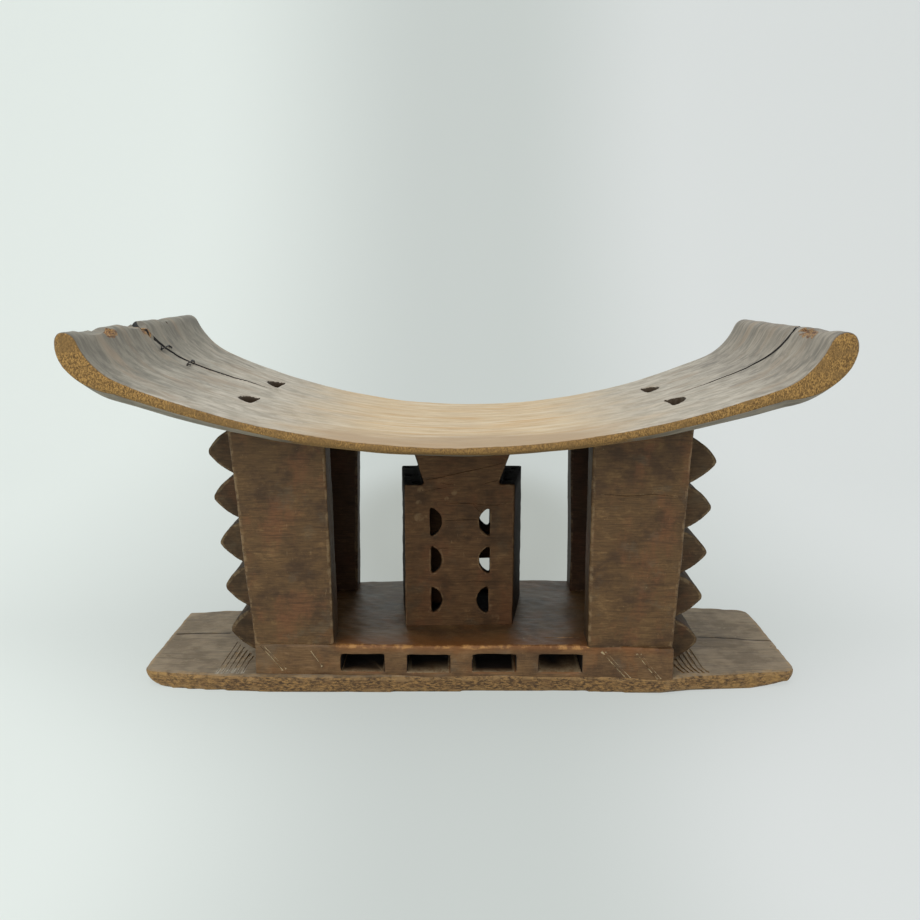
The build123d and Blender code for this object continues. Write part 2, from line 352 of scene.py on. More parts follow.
def on_front(piece, spots):
    """The places on a piece's front for (x, z) spots in mm."""
    points = points_of(piece)
    places = []
    for x, z in spots:
        near = np.hypot(points[:, 0] - x, points[:, 2] - z) < 2.5
        places.append((x, points[near, 1].min(), z))
    return places


def finish_piece(piece, material, nodes, angle=40):
    """Shade the piece, give it its material and let it stand for its solids."""
    only(piece)
    bpy.ops.object.shade_smooth_by_angle(angle=math.radians(angle))
    piece.data.materials.clear()
    piece.data.materials.append(material)
    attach(piece, "root")
    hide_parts(*nodes)
    triangles = sum(len(face.vertices) - 2 for face in piece.data.polygons)
    print(piece.name, "has", triangles, "triangles")


# %% [markdown]
# ## Helpers for finishes
# A finish is a small net of shader nodes. These helpers add one node each, and link or set its
# inputs, so that a material reads from top to bottom like a recipe. Colours are written as the
# eye sees them, from 0 to 255, and turned into the linear values that the renderer works with.

# %% Node helpers
def paint(red, green, blue):
    """A linear colour from 0 to 255 values."""
    channels = [value / 255 for value in (red, green, blue)]
    linear = [c / 12.92 if c <= 0.04045 else ((c + 0.055) / 1.055) ** 2.4 for c in channels]
    return (*linear, 1.0)


def new_node(kind):
    """A node in the finish begun last."""
    return tree.nodes.new("ShaderNode" + kind)


def connect(value, socket):
    """Link a socket to an input, or set the input's value."""
    if isinstance(value, bpy.types.NodeSocket):
        tree.links.new(value, socket)
    else:
        socket.default_value = value


def new_finish(name, shine=0.5):
    """Start a material with a Principled shader. The helpers add nodes to the one begun last."""
    global tree
    material = bpy.data.materials.new(name)
    material.use_nodes = True
    tree = material.node_tree
    shader = tree.nodes["Principled BSDF"]
    shader.inputs["Specular IOR Level"].default_value = shine
    return material, shader


def stretched(vector, stretch, shift=(0, 0, 0)):
    """The same place, divided by a stretch and moved."""
    mapping = new_node("Mapping")
    mapping.inputs["Scale"].default_value = [1 / value for value in stretch]
    mapping.inputs["Location"].default_value = shift
    connect(vector, mapping.inputs["Vector"])
    return mapping.outputs["Vector"]


def object_point():
    """Object coordinates in metres."""
    return new_node("TexCoord").outputs["Object"]


def noise(vector, size, detail=4.0, roughness=0.55, distortion=0.0, stretch=None):
    """Noise with features of about this size in mm, from 0 to 1, stretched if that is given."""
    node = new_node("TexNoise")
    connect(stretched(vector, stretch) if stretch else vector, node.inputs["Vector"])
    node.inputs["Scale"].default_value = 1 / (size * MM)
    node.inputs["Detail"].default_value = detail
    node.inputs["Roughness"].default_value = roughness
    node.inputs["Distortion"].default_value = distortion
    return node.outputs["Fac"]


def attribute(name, output="Fac"):
    """A value that is stored on the piece's points."""
    node = new_node("Attribute")
    node.attribute_name = name
    return node.outputs[output]


def ramp(value, low, high, start=0.0, end=1.0):
    """Turn the stretch from low to high into start to end, smoothly, and clamp the rest."""
    node = new_node("MapRange")
    node.interpolation_type = "SMOOTHSTEP"
    connect(value, node.inputs["Value"])
    for key, number in (("From Min", low), ("From Max", high), ("To Min", start), ("To Max", end)):
        node.inputs[key].default_value = number
    return node.outputs["Result"]


def calc(operation, first, second=0.5, third=0.5):
    """One step of arithmetic."""
    node = new_node("Math")
    node.operation = operation
    for index, value in enumerate((first, second, third)):
        connect(value, node.inputs[index])
    return node.outputs["Value"]


def times(first, second):
    """One number times another."""
    return calc("MULTIPLY", first, second)


def axes(place):
    """The x, y and z of a place."""
    node = new_node("SeparateXYZ")
    connect(place, node.inputs[0])
    return node.outputs[0], node.outputs[1], node.outputs[2]


def blend(amount, first, second, mode="MIX"):
    """Mix two colours."""
    node = new_node("Mix")
    node.data_type = "RGBA"
    node.blend_type = mode
    connect(amount, node.inputs[0])
    connect(first, node.inputs[6])
    connect(second, node.inputs[7])
    return node.outputs[2]


def patch(colour, value, low, high, amount, tone):
    """Blend in a tone where a value goes from low to high, up to an amount."""
    return blend(ramp(value, low, high, 0.0, amount), colour, tone)


def shade(colour, amount):
    """A colour made darker or lighter by a number."""
    grey = new_node("CombineColor")
    for socket in grey.inputs:
        connect(amount, socket)
    return blend(1.0, colour, grey.outputs[0], "MULTIPLY")


def bump(height, depth, strength=1.0, normal=None):
    """A fine relief of this depth in mm."""
    node = new_node("Bump")
    node.inputs["Strength"].default_value = strength
    node.inputs["Distance"].default_value = depth * MM
    connect(height, node.inputs["Height"])
    if normal is not None:
        connect(normal, node.inputs["Normal"])
    return node.outputs["Normal"]


# %% [markdown]
# ## The dark wood finish
# The supports have an old, handled patina: a dark red-brown skin with cloudy lighter and blacker
# patches, fine grain that runs along the log (the stool's X axis), short upright strokes and pale
# specks. Edges are rubbed lighter, and sunk corners are painted darker (on the plinth, pale with
# dust). Faces that don't look to the front are painted darker, nearly black, as painted shade, and
# so is the wood just under the seat, where the seat's shadow falls. One function makes it all, so
# that the posts, teeth, column and plinth can each have their own tone but clearly come from the
# same block.

# %% Dark wood
BLACK = paint(15, 12, 10)
ORANGE = paint(134, 82, 40)


def dark_wood(name, tones, edge, sunk_tone, gloss, shift,
              away=0.6, sunk_amount=0.6, polish=-0.1, rubbing=0.4, shine=0.25):
    """A patinated wood: tones are the patina's dark, middle, light, red and ashy colours."""
    material, shader = new_finish(name, shine)
    tones = [paint(*tone) for tone in tones]
    point = stretched(object_point(), (1, 1, 1), (shift, 0, 0))
    along = stretched(point, (11, 1, 1))
    cloud = noise(point, 28, 7, 0.68, stretch=(1.2, 1, 1))
    smudge = noise(point, 6, 5, 0.66, 0.5, stretch=(1.8, 1, 1))
    grain = noise(along, 1.1, 5, 0.6)
    streak = noise(along, 3.0, 4, 0.6, 0.3)
    colour = blend(ramp(cloud, 0.55, 0.36, 0.0, 0.75), tones[1], tones[0])
    red = noise(stretched(point, (1, 1, 1.4), (0.31, 0.17, 0.23)), 34, 6, 0.66)
    colour = patch(colour, red, 0.50, 0.66, 0.6, tones[3])
    ash = noise(stretched(point, (1, 1, 1), (0.71, 0.37, 0.53)), 26, 6, 0.66)
    colour = patch(colour, ash, 0.54, 0.68, 0.5, tones[4])
    light = calc("MULTIPLY_ADD", smudge, 0.55, times(cloud, 0.45))
    colour = patch(colour, light, 0.52, 0.68, 0.7, tones[2])
    colour = patch(colour, streak, 0.52, 0.68, 0.4, tones[0])
    colour = shade(colour, ramp(grain, 0.32, 0.68, 0.80, 1.18))
    x, y, height = axes(point)
    # Darker towards the top, from 180 to 260 mm up: painted shade of the seat above.
    colour = shade(colour, ramp(height, 0.18, 0.26, 1.0, 0.80))
    # Warm orange: the plinth's worn front edge, and a painted reflection on the front of its top.
    colour = blend(times(attribute("warm_wear_and_reflection"), 0.75), colour, ORANGE)
    # Faces that don't look to the front are painted darker: painted shade on the sides and backs.
    colour = shade(colour, ramp(attribute("front"), 0.15, 0.75, away, 1.0))
    rub_break = noise(point, 7, 5, 0.65)
    rub = times(ramp(attribute("rubbed"), 0.5, 0.95), rubbing)
    rub = times(rub, ramp(rub_break, 0.42, 0.62))
    colour = blend(rub, colour, edge)
    # Sunk corners are painted darker on the supports; on the plinth their tone is pale dust.
    sunk_break = noise(point, 5, 5, 0.7)
    sunk = times(ramp(attribute("sunk"), 0.3, 0.9), sunk_amount)
    colour = blend(times(sunk, ramp(sunk_break, 0.38, 0.6)), colour, sunk_tone)
    strokes = noise(point, 1.0, 2, 0.5, stretch=(1, 1, 9))
    strokes = ramp(strokes, 0.70, 0.78, 0.0, 0.5)
    stroke_area = ramp(noise(point, 20, 2), 0.50, 0.62)
    colour = blend(times(strokes, stroke_area), colour, edge)
    specks = ramp(noise(point, 1.7, 2, 0.6), 0.70, 0.76, 0.0, 0.6)
    speck_area = ramp(noise(point, 24, 2), 0.45, 0.62)
    colour = blend(times(specks, speck_area), colour, edge)
    line_break = ramp(noise(point, 4, 3, 0.7), 0.35, 0.55, 0.35, 0.9)
    colour = blend(times(attribute("line"), line_break), colour, sunk_tone)
    # Near-black where the column's hollow and shoulders and the plinth's slots are marked: painted
    # shade.
    colour = blend(attribute("painted_shade_black"), colour, BLACK)
    connect(colour, shader.inputs["Base Color"])
    rough = calc("MULTIPLY_ADD", smudge, 0.30, gloss - 0.15)
    polished = times(attribute("up"), polish)
    dull = calc("MULTIPLY_ADD", attribute("painted_shade_black"), 0.3, polished)
    connect(calc("ADD", rough, dull), shader.inputs["Roughness"])
    relief = bump(grain, 0.30, 0.5)
    relief = bump(smudge, 1.0, 0.3, relief)
    connect(relief, shader.inputs["Normal"])
    return material


STRAW = paint(196, 178, 142)
# The dark tone that the supports' sunk corners are painted with.
SUNK_DARK = paint(30, 22, 16)
post_tones = ((64, 46, 31), (94, 70, 43), (124, 96, 62), (116, 76, 48), (92, 80, 62))
# The back posts' tones are darker: painted shade of the seat and the front posts.
back_shaded_tones = ((44, 30, 20), (64, 43, 27), (84, 61, 40), (78, 47, 30), (58, 47, 36))
tooth_tones = ((52, 40, 27), (82, 63, 42), (106, 84, 57), (90, 60, 38), (84, 72, 54))
column_tones = ((58, 42, 28), (86, 62, 40), (108, 83, 56), (92, 60, 38), (76, 64, 48))
plinth_tones = ((76, 55, 37), (110, 83, 54), (136, 106, 74), (126, 84, 50), (100, 86, 68))
post_finish = dark_wood("post_patina", post_tones, paint(156, 132, 98), SUNK_DARK, 0.60, 0.0)
back_shaded_finish = dark_wood("back_post_shaded_patina", back_shaded_tones, paint(126, 104, 76), SUNK_DARK, 0.62, 0.4,
                        away=0.8, shine=0.2)
tooth_finish = dark_wood("tooth_patina", tooth_tones, paint(146, 126, 94), SUNK_DARK, 0.72, 0.7,
                         polish=0.1)
column_finish = dark_wood("column_patina", column_tones, paint(136, 112, 82), SUNK_DARK, 0.62, 1.3,
                          away=0.4, shine=0.12)
plinth_finish = dark_wood("plinth_patina", plinth_tones, paint(190, 140, 82), STRAW, 0.46, 2.1,
                          away=0.8, sunk_amount=0.9, rubbing=0.75)
print("dark finishes:", [m.name for m in bpy.data.materials if m.name.endswith("patina")])

# %% [markdown]
# ## The seat's finish
# The seat is lighter, because sitting and scrubbing have worn its patina away. Its middle is a
# pale golden tan with long fine streaks of grain, and towards the raised ends it goes grey-brown.
# The rim all round is golden, rough and speckled, and the bevel under it is grey-brown again.
# The grain has to follow the curve of the plank up to its ends, so it isn't read from the plain
# coordinates but from an attribute: how far along the curve, and how far across, a point lies.

# %% Seat wood
def seat_wood():
    """Scrubbed pale wood with a golden rim."""
    material, shader = new_finish("scrubbed_seat", 0.35)
    point = object_point()
    place = attribute("unrolled", "Vector")
    along = stretched(place, (7, 1, 1))
    x, y, z = axes(point)
    cloud = noise(place, 38, 5, 0.6, stretch=(2.2, 1, 1))
    wander = calc("MULTIPLY_ADD", cloud, 0.12, -0.06)
    reach_out = calc("ADD", calc("ABSOLUTE", x), wander)
    streaks = noise(along, 4.5, 6, 0.65, 0.3)
    fine = noise(place, 1.0, 4, 0.6, stretch=(20, 1, 1))
    streaky = ramp(streaks, 0.34, 0.66)
    middle = blend(streaky, paint(182, 154, 116), paint(208, 186, 152))
    golden = noise(place, 16, 3, stretch=(9, 1, 1))
    middle = patch(middle, golden, 0.50, 0.66, 0.55, paint(190, 150, 98))
    pale = noise(place, 9, 3, stretch=(14, 1, 1))
    middle = patch(middle, pale, 0.50, 0.68, 0.7, paint(212, 198, 174))
    patches = noise(place, 9, 6, 0.7, 0.4, stretch=(2.2, 1, 1))
    patchy = ramp(patches, 0.36, 0.64)
    flank = blend(patchy, paint(150, 141, 126), paint(186, 177, 163))
    left_end = blend(patchy, paint(104, 99, 89), paint(136, 130, 117))
    right_end = blend(patchy, paint(110, 103, 93), paint(148, 139, 126))
    ends = blend(ramp(x, -0.1, 0.1), left_end, right_end)
    top = blend(ramp(reach_out, 0.06, 0.19), middle, flank)
    top = blend(ramp(reach_out, 0.20, 0.285), top, ends)
    front_edge = ramp(calc("ADD", y, wander), -0.07, -0.125, 0.0, 0.8)
    front_edge = times(front_edge, ramp(reach_out, 0.16, 0.08))
    top = blend(front_edge, top, paint(162, 136, 106))
    brownish = noise(place, 26, 4, 0.6, stretch=(3, 1, 1))
    brownish = times(ramp(brownish, 0.50, 0.66, 0.0, 0.6), ramp(reach_out, 0.12, 0.2))
    top = blend(brownish, top, paint(146, 128, 108))
    mottle = noise(place, 11, 6, 0.68, 0.5, stretch=(2.5, 1, 1))
    outward = ramp(reach_out, 0.12, 0.27, 0.0, 0.6)
    top = blend(times(ramp(mottle, 0.52, 0.68), outward), top, paint(92, 88, 82))
    dashes = noise(place, 1.3, 2, 0.6, stretch=(9, 1, 1))
    dash_area = ramp(noise(place, 30, 2, stretch=(3, 1, 1)), 0.42, 0.62)
    dashes = times(ramp(dashes, 0.66, 0.74, 0.0, 0.75), dash_area)
    top = blend(dashes, top, paint(96, 76, 56))
    top = shade(top, ramp(fine, 0.3, 0.7, 0.93, 1.06))
    speckle = noise(point, 1.5, 5, 0.75, stretch=(0.6, 1, 1))
    rim_tone = noise(point, 11, 4, 0.6, stretch=(2, 1, 1))
    rim = blend(ramp(speckle, 0.38, 0.64), paint(88, 63, 32), paint(180, 140, 78))
    rim = patch(rim, rim_tone, 0.46, 0.64, 0.7, paint(122, 94, 54))
    pits = ramp(noise(point, 1.1, 2, 0.5), 0.66, 0.74, 0.0, 0.7)
    rim = blend(pits, rim, paint(66, 44, 24))
    rim = patch(rim, reach_out, 0.26, 0.10, 0.35, paint(116, 88, 50))
    ragged = calc("SUBTRACT", rim_tone, 0.5)
    ragged = calc("MULTIPLY_ADD", ragged, 0.5, attribute("rim"))
    rim_amount = ramp(ragged, 0.42, 0.56)
    under = blend(ramp(streaks, 0.38, 0.62), paint(104, 96, 82), paint(132, 123, 107))
    colour = blend(attribute("under"), top, under)
    outline = times(ramp(ragged, 0.26, 0.44), ramp(ragged, 0.66, 0.50))
    colour = blend(rim_amount, colour, rim)
    colour = blend(times(outline, 0.35), colour, paint(74, 54, 34))
    scar = attribute("scar")
    chip = blend(ramp(speckle, 0.42, 0.60), paint(104, 74, 40), paint(168, 130, 78))
    splinters = noise(point, 1.4, 3, 0.6, stretch=(1, 7, 1))
    chip = patch(chip, splinters, 0.50, 0.58, 0.85, paint(80, 44, 28))
    scar_edge = calc("MULTIPLY_ADD", calc("SUBTRACT", mottle, 0.5), 0.9, scar)
    colour = blend(ramp(scar_edge, 0.40, 0.55), colour, chip)
    # The holes' walls are painted dark brown and the cracks' walls near-black: painted shade.
    colour = blend(attribute("pierced"), colour, paint(66, 52, 37))
    colour = blend(attribute("split"), colour, paint(26, 24, 25))
    connect(colour, shader.inputs["Base Color"])
    rough = calc("MULTIPLY_ADD", streaks, 0.20, 0.42)
    connect(calc("MULTIPLY_ADD", rim_amount, 0.25, rough), shader.inputs["Roughness"])
    relief = bump(fine, 0.15, 0.35)
    relief = bump(patches, 0.5, 0.3, relief)
    rough_rim = times(speckle, rim_amount)
    connect(bump(rough_rim, 1.0, 0.6, relief), shader.inputs["Normal"])
    return material


seat_finish = seat_wood()

# %% [markdown]
# ## The seat
# The plank is copied from its solid and a voxel skin softens it. Beyond each crack the wood has
# moved, so its far lip stands a little higher. Chips are taken out of the ends. The skin is finer
# than the chips, and is then thinned, because a plank this wide would have too many faces. The
# cracks are cut last, so that their lips stay sharp.

# %% The seat plank, its holes and its cracks
LEFT_SLIT = [(-313.2, -6), (-286.2, 3), (-274.2, 9), (-252.2, 11.5), (-218.2, 23.5), (-173.2, 38)]
RIGHT_SLIT = [(302.8, -5), (277.8, -25), (246.8, -18.5), (210.8, -20), (187.8, -15)]
LEFT_CRACK = [(-318, 14), (-302, 5), (-296, -1), (-290, -6), (-283.5, -3.5), (-281.5, 3),
              (-276.4, 9.5), (-268, 14), (-257, 17), (-238, 20), (-220, 25), (-205, 30),
              (-191, 31), (-174, 34.5)]
LEFT_WIDTHS = [4.5, 4.5, 4.2, 3.8, 3.4, 3.0, 2.6, 2.3, 2.1, 1.8, 1.5, 1.1, 0.8, 0.4]
RIGHT_CRACK = [(312, -8), (298, -24), (290, -36), (283.7, -44), (281, -43), (278.5, -39),
               (275, -34), (268.8, -25.5), (259.9, -15.5), (249, -12.7), (231, -14.8),
               (212.5, -18.7), (190, -19.8)]
RIGHT_WIDTHS = [3.4, 3.4, 3.4, 3.4, 3.2, 3.0, 2.8, 2.6, 2.4, 2.0, 1.6, 1.0, 0.4]
# Each hole's flat side, the way it bulges, and its place from front to back.
HOLES = [(-181.2, -1, -45), (-181.2, -1, 73), (178.3, 1, -52), (178.3, 1, 59)]

# Each chip's place and size, and its turn in degrees.
CHIPS = [
    ((-302, -106, 327.5), (50, 62, 19), 15), ((-302, -84, 324), (50, 19, 15), 15),
    ((-290.5, -80, 319.2), (8, 20, 6), 51), ((-302, -24, 327.5), (50, 52, 19), 15),
    ((-302, -6, 324), (50, 19, 15), 15), ((-287, -9, 318), (13, 15, 7), 51),
    ((-286, 57, 318), (5, 3, 4), 51), ((-304, 60, 328), (46, 44, 15), 15),
    ((281.5, -80, 318.6), (8, 48, 6), -51), ((302, -68, 323.5), (50, 20, 17), -15),
    ((302, -104, 328), (50, 76, 17), -15), ((302, -30, 328), (50, 30, 15), -15),
    ((300, 20, 328), (50, 50, 15), -15),
]
# Each scar's place and size, where a chip has left fresh wood.
SCARS = [
    (-291, -84, 318, 8), (-290.5, -76, 317, 7.5), (-290, -70, 317, 5), (-291, -7, 319, 9),
    (-288, -9, 316, 9), (-285, -3, 311, 6), (285, -60, 318, 5), (283, -70, 318, 7),
    (282.5, -80, 317.5, 8), (281.5, -90, 317, 7), (281, -100, 317, 6),
]


def height_along(path, points):
    """A path's y for the x of each point."""
    return np.interp(points[:, 0], *np.array(sorted(path)).T)


def slide(piece, slit, path, spread):
    """Slide the wood sideways near the solid's slit, so that the slit follows the crack's path."""
    points = points_of(piece)
    old = height_along(slit, points)
    near = 1 - fade(np.abs(points[:, 1] - old), 2, spread)
    inner_end = min((x for x, y in slit), key=abs)
    inside = fade(points[:, 0] / inner_end, 1.0, 1.06)
    points[:, 1] += (height_along(path, points) - old) * near * inside
    move_to(piece, points * MM)


def raise_lip(piece, path, height, spread):
    """Raise the wood on the far side of a crack, most at its lip."""
    points = points_of(piece)
    beyond = points[:, 1] - height_along(path, points)
    inner_end = min((x for x, y in path), key=abs)
    inside = fade(points[:, 0] / inner_end, 1.0, 1.2)
    points[:, 2] += height * (1 - fade(beyond, 0, spread)) * inside * (beyond > 0)
    move_to(piece, points * MM)


def half_moon(flat_x, side, y, radius=23.3, bulge=13.6):
    """A half-moon hole's tool: a cylinder, cut off flat on the side of the seat's middle."""
    place = ((flat_x + side * (bulge - radius)) * MM, y * MM, 290 * MM)
    size = {"radius": radius * MM, "depth": 150 * MM}
    bpy.ops.mesh.primitive_cylinder_add(vertices=72, location=place, **size)
    tool = bpy.context.object
    settle(tool)
    open_all(tool)
    plane = {"plane_co": (flat_x * MM, 0, 0), "plane_no": (side, 0, 0)}
    bpy.ops.mesh.bisect(use_fill=True, clear_inner=True, **plane)
    close()
    return tool


seat = copy_of("seat", "seat_plank")
skin(seat, 1.3, 4)
slide(seat, LEFT_SLIT, LEFT_CRACK, 45)
slide(seat, RIGHT_SLIT, RIGHT_CRACK, 55)
raise_lip(seat, LEFT_CRACK, 1.2, 30)
raise_lip(seat, RIGHT_CRACK, 0.8, 30)
cut(seat, [gouge(*chip) for chip in CHIPS])
modify(seat, "SMOOTH", factor=0.5, iterations=2)
carve(seat, [(60, 0.35, (1.5, 1, 1)), (20, 0.10, (3, 1, 1))], seed=11)
keep_inside(seat)
cut(seat, [half_moon(*hole) for hole in HOLES])
cut(seat, [wall(LEFT_CRACK, LEFT_WIDTHS, 285), wall(RIGHT_CRACK, RIGHT_WIDTHS, 285)])
modify(seat, "DECIMATE", ratio=0.30)

# %% [markdown]
# Now the seat's attributes. The length along the curve comes from the plank's own profile: the
# highest point in each narrow column, added up as a chain of short runs. The golden rim is where
# the surface looks to the front or back near those edges. The walls of the holes and cracks are
# the upright faces away from the edges, and they are painted dark: painted shade.

# %% Zones of the seat
def mark_seat(piece):
    """Store the unrolled place, the rim, the underside, the scars and the pierced faces."""
    points = read(piece.data, "vertices", "co", 3)
    normals = normals_of(piece)
    columns = np.linspace(points[:, 0].min(), points[:, 0].max(), 100)
    index = np.clip(np.digitize(points[:, 0], columns) - 1, 0, len(columns) - 2)
    tops = np.array([points[index == i, 2].max() for i in range(len(columns) - 1)])
    runs = np.hypot(np.diff(columns), np.gradient(tops))
    far = np.concatenate(([0], np.cumsum(runs)))
    unrolled = np.zeros_like(points)
    unrolled[:, 0] = np.interp(points[:, 0], columns, far)
    unrolled[:, 1] = points[:, 1]
    store(piece, "unrolled", unrolled, "FLOAT_VECTOR")
    near_edge = fade(np.abs(points[:, 1]) / MM, 128, 136)
    edges = read(piece.data, "edges", "vertices", 2, np.int32)
    for _ in range(3):
        normals = neighbour_mean(normals, edges)
    below = fade(-normals[:, 2], 0.48, 0.72)
    bare = 1 - below * fade(np.abs(points[:, 0]) / MM, 90, 170)
    facing = np.abs(normals[:, 1])
    side = np.where(normals[:, 2] < -0.05, fade(facing, 0.05, 0.35), fade(facing, 0.28, 0.85))
    store(piece, "rim", side * near_edge * bare)
    store(piece, "under", below)
    scar = np.zeros(len(points))
    for *place, size in SCARS:
        away = np.linalg.norm(points / MM - place, axis=1)
        scar = np.maximum(scar, 1 - fade(away, size * 0.5, size))
    store(piece, "scar", scar)
    centres = read(piece.data, "polygons", "center", 3) / MM
    looks = read(piece.data, "polygons", "normal", 3)
    upright = np.abs(looks[:, 2]) < 0.35
    within = (np.abs(centres[:, 0]) < 290) & (np.abs(centres[:, 1]) < 125)
    in_crack = np.zeros(len(centres), bool)
    for path in (LEFT_CRACK, RIGHT_CRACK):
        same_end = centres[:, 0] * path[0][0] > 0
        in_crack |= same_end & (np.abs(centres[:, 1] - height_along(path, centres)) < 4)
    in_crack_wall = upright & in_crack & (np.abs(looks[:, 0]) < 0.9)
    store(piece, "pierced", upright & within & ~in_crack, domain="FACE")
    store(piece, "split", in_crack_wall, domain="FACE")


mark_seat(seat)
finish_piece(seat, seat_finish, ["seat"])

# %% [markdown]
# ## The repair staples
# Somebody stitched the left crack with two bits of iron wire. Each goes into the wood on both
# sides of the crack, lies on the surface between, and has its ends curled back. A rounded rod
# along a short path makes each one, and the path is set out from the solid's own box.

# %% Iron wire
def iron_wire():
    """Dark, dull, slightly rusted wire."""
    material, shader = new_finish("iron_wire_dark")
    point = object_point()
    rust = noise(point, 1.5, 3, 0.6)
    colour = blend(ramp(rust, 0.45, 0.65), paint(44, 46, 50), paint(84, 74, 66))
    connect(colour, shader.inputs["Base Color"])
    connect(ramp(rust, 0.3, 0.7, 0.35, 0.65), shader.inputs["Roughness"])
    shader.inputs["Metallic"].default_value = 0.7
    connect(bump(rust, 0.1, 0.5), shader.inputs["Normal"])
    return material


wire_finish = iron_wire()


RAISED = 1.0    # the lip beyond the crack stands up, and lifts the wire
WIRE = 1.3      # the wire's thickness


def stitch(node, name, twist):
    """A wire staple with curled ends, laid where its solid lies."""
    low, high = (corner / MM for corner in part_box(node))
    crown = np.array([high.x - 0.9, 0, high.z - 0.9])
    leg = np.array([low.x + 0.9, 0, low.z + 0.9]) - crown
    leg /= np.linalg.norm(leg)
    slope = np.array([leg[2], 0, -leg[0]]) * np.sign(leg[2])
    near, far = low.y + 1.5, high.y - 1.5
    middle = (near + far) / 2

    # Each bend's place across the crack, how far it stands proud, and how far it goes sideways.
    route = [
        (near + 2.2, 0.5, -2.2), (near + 0.2, 0.6, -1.8), (near - 0.8, 0.4, -0.6),
        (near, -4.0, 0.2), (near + 0.6, 0.3, 0.3), (near + 3.5, 1.3, 0.3), (middle, 2.2, 0.0),
        (far - 3.5, 2.0, -0.3), (far - 0.6, 1.0, -0.3), (far, -4.0, -0.2),
        (far + 0.8, 1.2, 0.6), (far - 0.2, 1.4, 1.8), (far - 2.2, 1.3, 2.2),
    ]
    points = [tuple(crown + (0, y, 0) - leg * (proud + RAISED) + slope * sideways * twist)
              for y, proud, sideways in route]
    piece = rod(points, [WIRE] * len(points), rounded=True)
    piece.name = name
    finish_piece(piece, wire_finish, [node], angle=60)


stitch("left_crack_stitch_1", "outer_staple", 1)
stitch("left_crack_stitch_2", "inner_staple", -1)

# %% [markdown]
# ## The posts and the toothed webs
# Posts and webs differ only in their solid, the fineness of their skin and how much they are
# rubbed. Each post reaches a few millimetres up into the seat and down into the plinth. The two
# back posts stand in the seat's shade, and their finish is painted darker: painted shade.

# %% Posts and webs
def support(node, name, voxel, rub, seed, reaches):
    """A carved support: copied, joined to its neighbours, skinned, rubbed and rippled."""
    piece = copy_of(node, name)
    for direction, length, low, high in reaches:
        reach(piece, direction, length, low, high)
    skin(piece, voxel, rub)
    carve(piece, [(70, 0.35, (1, 1, 1.6)), (16, 0.12, (1, 1, 2.5)), (5, 0.04, (3, 1, 1))], seed)
    return piece


UP, DOWN = (0, 0, 1), (0, 0, -1)
POST_REACHES = [(UP, 4, 150, 400), (DOWN, 1.5, 0, 50)]
WEB_REACHES = [(UP, 4, 235, 400), (DOWN, 3, 0, 16)]
POST_CRACK = [(116, 181), (140, 179), (164, 180.5), (186, 178)]
for index, corner in enumerate(("front_left", "front_right", "back_left", "back_right")):
    seed = 20 + 10 * index
    post = support(f"{corner}_post", f"{corner}_carved_post", 1.4, 3, seed, POST_REACHES)
    if corner == "front_right":
        cut(post, [rod(on_front(post, POST_CRACK), [0.4, 1.3, 1.0, 0.4])])
    mark_wear(post)
    # The back posts take the finish with painted shade.
    patina = post_finish if corner.startswith("front") else back_shaded_finish
    finish_piece(post, patina, [f"{corner}_post"])
for index, side in enumerate(("left", "right")):
    seed = 60 + 10 * index
    web = support(f"{side}_toothed_web", f"{side}_row_of_teeth", 1.4, 4, seed, WEB_REACHES)
    mark_wear(web)
    finish_piece(web, tooth_finish, [f"{side}_toothed_web"])

# %% [markdown]
# ## The pierced column and its neck
# The column is the carver's show piece: a front wall with three pairs of half-moons over a dark
# hollow, and a neck that flares up to the seat. On the real stool they are one piece of wood, so
# no joint line may show between them. The two copies are joined, skinned, cracked and rubbed as
# one, and only then cut apart at the shoulders, one part for each of the two solids. The hollow,
# the shoulders and the neck's sides, which lie in shade under the seat, are painted black as
# painted shade, and knocks have left pale scuffs on its front.

# %% Column and neck, made as one
SHOULDER = 177.0
COLUMN_CRACKS = [
    ([(-33, 181.5), (-24, 183), (-1, 188.5), (18, 192.5), (36, 197)], [1.6, 1.6, 1.3, 1.0, 0.6]),
    ([(-20, 178.5), (-13, 177.5), (-6, 178)], [0.4, 1.2, 0.4]),
    ([(16, 176.5), (24, 179.5), (32, 181)], [0.4, 1.2, 1.2]),
    ([(-14, 159.5), (-3, 160), (11, 159.5), (28, 157.5), (47, 162)], [0.4, 1.3, 1.2, 1.0, 0.6]),
    ([(9, 159.5), (13, 154.5), (18, 149)], [0.8, 1.1, 0.8]),
    ([(12, 159.5), (16, 154), (20, 150)], [0.5, 0.8, 0.5]),
    ([(-15, 143.5), (-4, 144), (13, 144.5)], [0.8, 1.0, 0.6]),
    ([(-36, 170), (-24, 173), (-12, 175)], [0.4, 1.0, 0.4]),
    ([(-44, 118), (-24, 116.5), (-4, 118)], [0.4, 0.9, 0.3]),
    ([(-8, 84), (10, 86), (30, 84.5)], [0.3, 0.9, 0.4]),
]
# Each scuff's place on the front, and its size.
SCUFFS = [(-44, 177, 5), (-38, 172, 6), (-40, 146, 8), (-32, 149, 5), (-8, 170, 5),
          (-15, 164, 4), (26, 60, 6), (30, 50, 7), (-30, 56, 4), (-40, 160, 5)]
column = copy_of("centre_column", "pierced_column")
neck = copy_of("column_neck", "flaring_neck")
reach(column, DOWN, 4, 0, 44)
reach(neck, DOWN, 3, 0, SHOULDER + 1)
reach(neck, UP, 4, 200, 400)
only(column)
neck.select_set(True)
bpy.ops.object.join()
skin(column, 1.2, 3)
carve(column, [(70, 0.35, (1, 1, 1.6)), (16, 0.14, (3, 1, 1)), (5, 0.05, (4, 1, 1))], 80)
cut(column, [rod(on_front(column, spots), widths) for spots, widths in COLUMN_CRACKS])
mark_wear(column)


